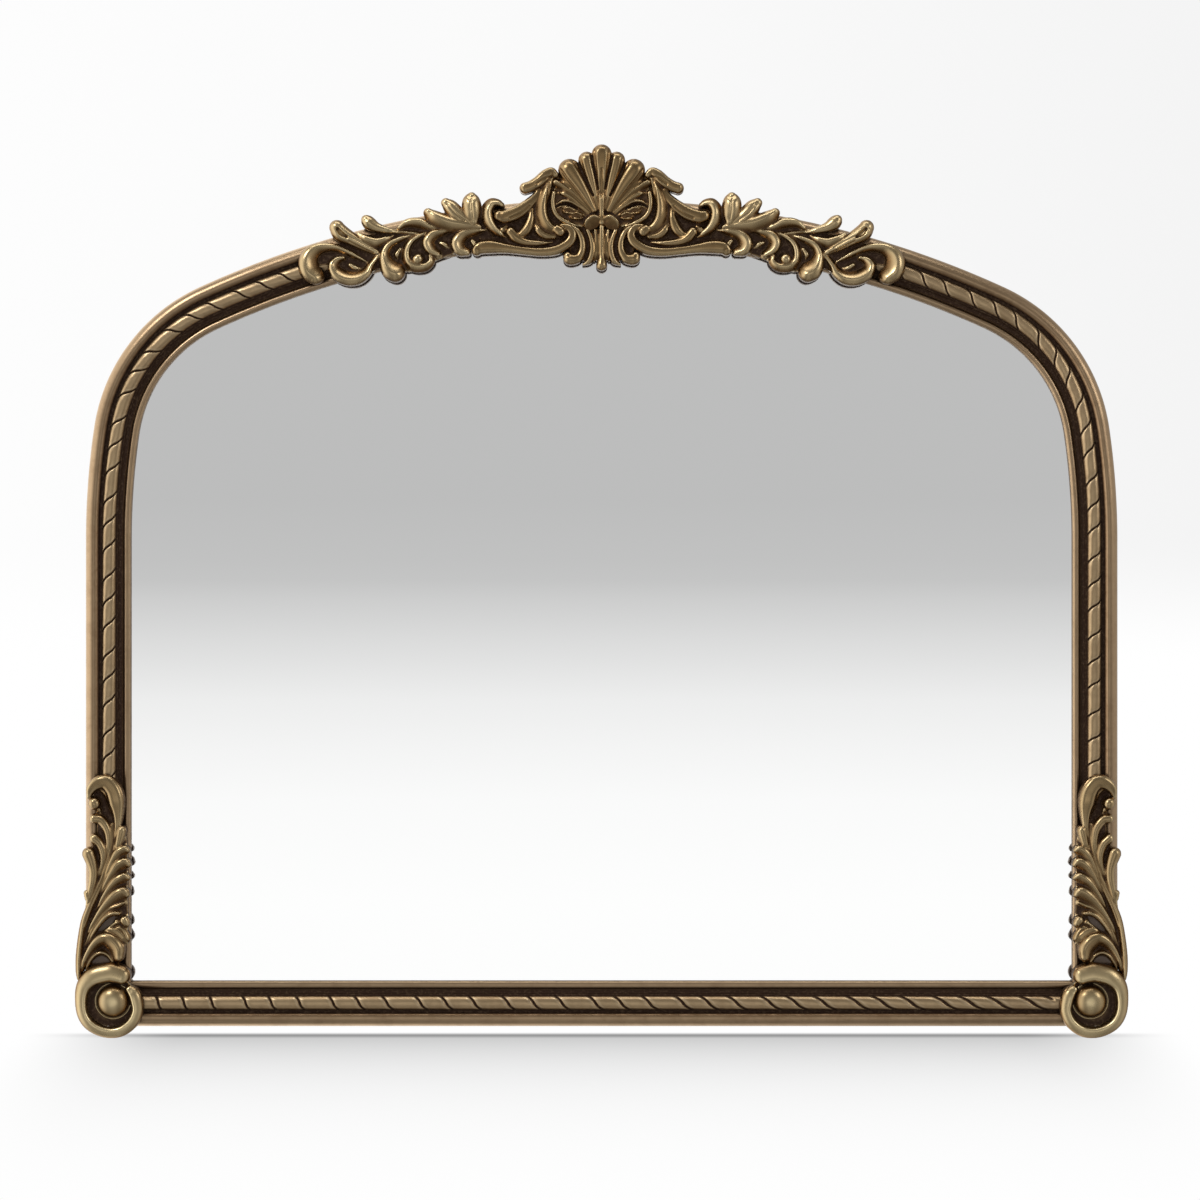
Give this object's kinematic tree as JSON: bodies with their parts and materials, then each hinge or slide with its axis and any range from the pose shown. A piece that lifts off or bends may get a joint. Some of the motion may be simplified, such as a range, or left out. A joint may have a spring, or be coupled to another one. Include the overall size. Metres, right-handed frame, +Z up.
{
  "type": "arched wall mirror",
  "caption": "Arched wall mirror in an aged brass frame with a rope moulding, a shell crest with leaf sprays and scrolled leaf corners.",
  "frame": {"origin": "midpoint between the bearing points of the two wall hooks, in the wall plane", "axes": "the mirror faces -Y with the wall at Y = 0; +X is to the right seen from the front; +Z is up"},
  "size_m": [1.0192, 0.0452, 0.8647],
  "materials": {
    "frame_finish": "aged brass metal leaf over gesso, satin, dark glaze in the grooves",
    "rope_finish": "composition strip in aged brass leaf with dark cut strokes",
    "casting_finish": "cast composition in burnished aged brass with dark glaze in the hollows",
    "mirror_glass": "plain silvered float glass",
    "foam": "thin white foam sheet",
    "board": "brown hardboard",
    "zinc_steel": "zinc plated",
    "hanger_brass": "brass plated steel",
    "pad_rubber": "matt black rubber",
    "dowel_wood": "bare beech"
  },
  "bodies": {
    "mirror": {"bottom_rail": "frame_finish", "left_stile": "frame_finish", "right_stile": "frame_finish", "left_haunch": "frame_finish", "right_haunch": "frame_finish", "left_shoulder": "frame_finish", "right_shoulder": "frame_finish", "crown_rail": "frame_finish", "bottom_rope": "rope_finish", "left_rope": "rope_finish", "right_rope": "rope_finish", "mirror_glass": "mirror_glass", "foam_sheet": "foam", "backing_board": "board", "setting_blocks": "pad_rubber", "board_clips": "zinc_steel", "clip_screws": "zinc_steel", "frame_dowels": "dowel_wood", "corner_braces": "zinc_steel", "joint_plates": "zinc_steel", "brace_screws": "zinc_steel", "left_hanger_strap": "hanger_brass", "right_hanger_strap": "hanger_brass", "hanger_screws": "zinc_steel", "wall_pads": "pad_rubber", "crest_shell": "casting_finish", "left_crest_scroll": "casting_finish", "right_crest_scroll": "casting_finish", "crest_pendant": "casting_finish", "left_spray": "casting_finish", "right_spray": "casting_finish", "left_leaf": "casting_finish", "right_leaf": "casting_finish", "left_volute": "casting_finish", "right_volute": "casting_finish", "left_boss": "casting_finish", "right_boss": "casting_finish"},
    "left_ring": {"left_d_ring": "hanger_brass"},
    "right_ring": {"right_d_ring": "hanger_brass"}
  },
  "joints": [
    {"name": "left_ring_swing", "type": "hinge", "parent": "mirror", "child": "left_ring", "pos_m": [-0.47827, -0.00432, -0.016], "axis": [-1, 0, 0], "range_deg": [0, 170]},
    {"name": "right_ring_swing", "type": "hinge", "parent": "mirror", "child": "right_ring", "pos_m": [0.47827, -0.00432, -0.016], "axis": [-1, 0, 0], "range_deg": [0, 170]}
  ]
}
